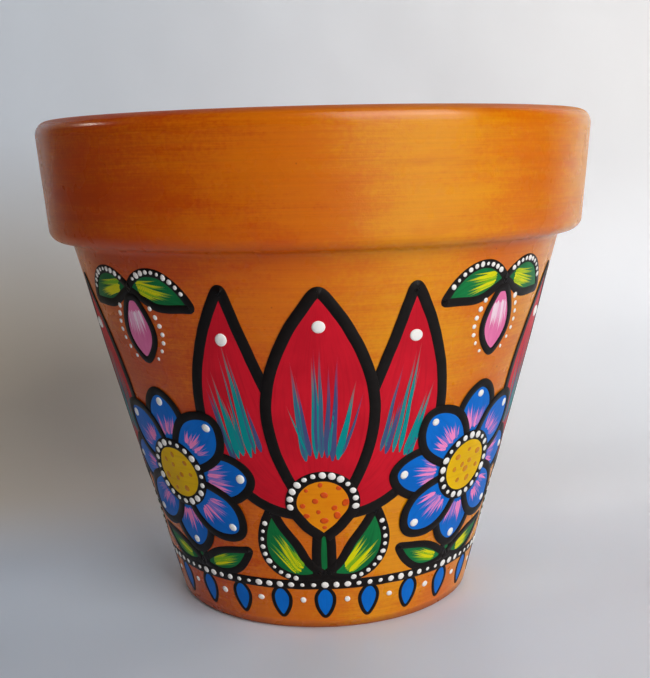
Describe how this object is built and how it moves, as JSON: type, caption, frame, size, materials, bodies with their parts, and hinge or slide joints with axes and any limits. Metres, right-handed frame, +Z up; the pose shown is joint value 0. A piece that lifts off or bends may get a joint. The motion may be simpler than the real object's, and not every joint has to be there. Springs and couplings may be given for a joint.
{
  "type": "flower pot",
  "caption": "Tapered clay flower pot with a thick rim band and a drain hole, brushed orange and painted with a frieze of tulips, rosettes and hanging buds.",
  "frame": {"origin": "centre of the foot, on the ground", "axes": "+Z up along the pot's axis; the first tulip of the frieze faces -Y"},
  "size_m": [0.2022, 0.2022, 0.178],
  "materials": {
    "clay": "matt fired clay",
    "ground": "satin acrylic, brushed round the pot",
    "crimson": "satin acrylic, hand painted",
    "heart": "satin acrylic, hand painted",
    "leaf": "satin acrylic, hand painted",
    "blue": "satin acrylic, hand painted",
    "yellow": "satin acrylic, hand painted",
    "pink": "satin acrylic, hand painted",
    "liner": "satin acrylic, the black outlines",
    "bead_white": "satin acrylic, the raised dots"
  },
  "bodies": {
    "root": {"clay_pot": "clay", "ground_coat": "ground", "foot_border": "blue", "tulip_petals_1": "crimson", "tulip_petals_2": "crimson", "tulip_petals_3": "crimson", "tulip_petals_4": "crimson", "tulip_heart_1": "heart", "tulip_heart_2": "heart", "tulip_heart_3": "heart", "tulip_heart_4": "heart", "tulip_stem_1": "leaf", "tulip_stem_2": "leaf", "tulip_stem_3": "leaf", "tulip_stem_4": "leaf", "rosette_petals_1": "blue", "rosette_petals_2": "blue", "rosette_petals_3": "blue", "rosette_petals_4": "blue", "rosette_centre_1": "yellow", "rosette_centre_2": "yellow", "rosette_centre_3": "yellow", "rosette_centre_4": "yellow", "rosette_stem_1": "leaf", "rosette_stem_2": "leaf", "rosette_stem_3": "leaf", "rosette_stem_4": "leaf", "bud_1": "pink", "bud_2": "pink", "bud_3": "pink", "bud_4": "pink", "bud_sprig_1": "leaf", "bud_sprig_2": "leaf", "bud_sprig_3": "leaf", "bud_sprig_4": "leaf"}
  },
  "joints": []
}
